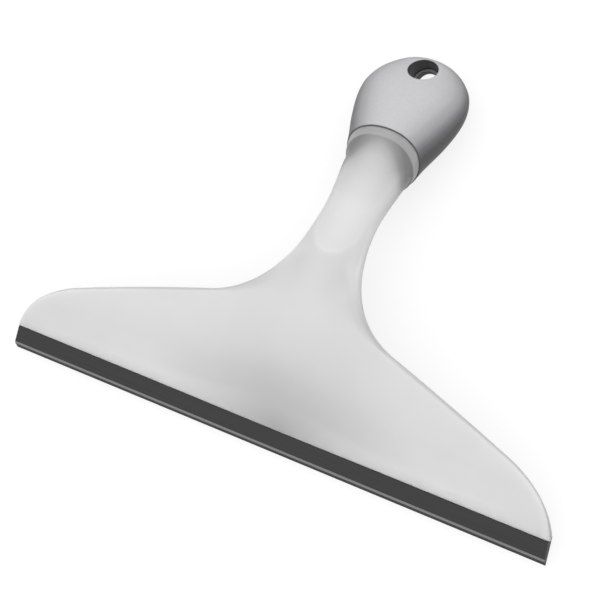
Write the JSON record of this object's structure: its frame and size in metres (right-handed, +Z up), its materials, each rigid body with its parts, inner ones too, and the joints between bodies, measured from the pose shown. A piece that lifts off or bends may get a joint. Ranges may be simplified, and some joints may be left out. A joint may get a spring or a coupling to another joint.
{
  "type": "window squeegee",
  "caption": "Hand squeegee with a fan-shaped plastic head, a bevelled rubber strip in its front slot, a slim neck with a thumb scoop and a fat grip with a hanging hole.",
  "frame": {"origin": "middle of the footprint on the table, with the tool lying face up on its rubber edge and its grip", "axes": "+X along the rubber strip, +Y from the strip towards the grip, +Z up from the table"},
  "size_m": [0.2502, 0.1835, 0.0339],
  "materials": {
    "holder_plastic": "pale satin, slightly translucent",
    "grip_plastic": "silver-grey soft satin",
    "blade_rubber": "dark grey matt"
  },
  "bodies": {
    "holder": {"blade_holder": "holder_plastic", "grip_bulb": "grip_plastic"},
    "strip": {"rubber_blade": "blade_rubber"}
  },
  "joints": [
    {"name": "blade_slide", "type": "slide", "parent": "holder", "child": "strip", "axis": [1, 0, 0], "range_m": [-0.2, 0.2]}
  ]
}
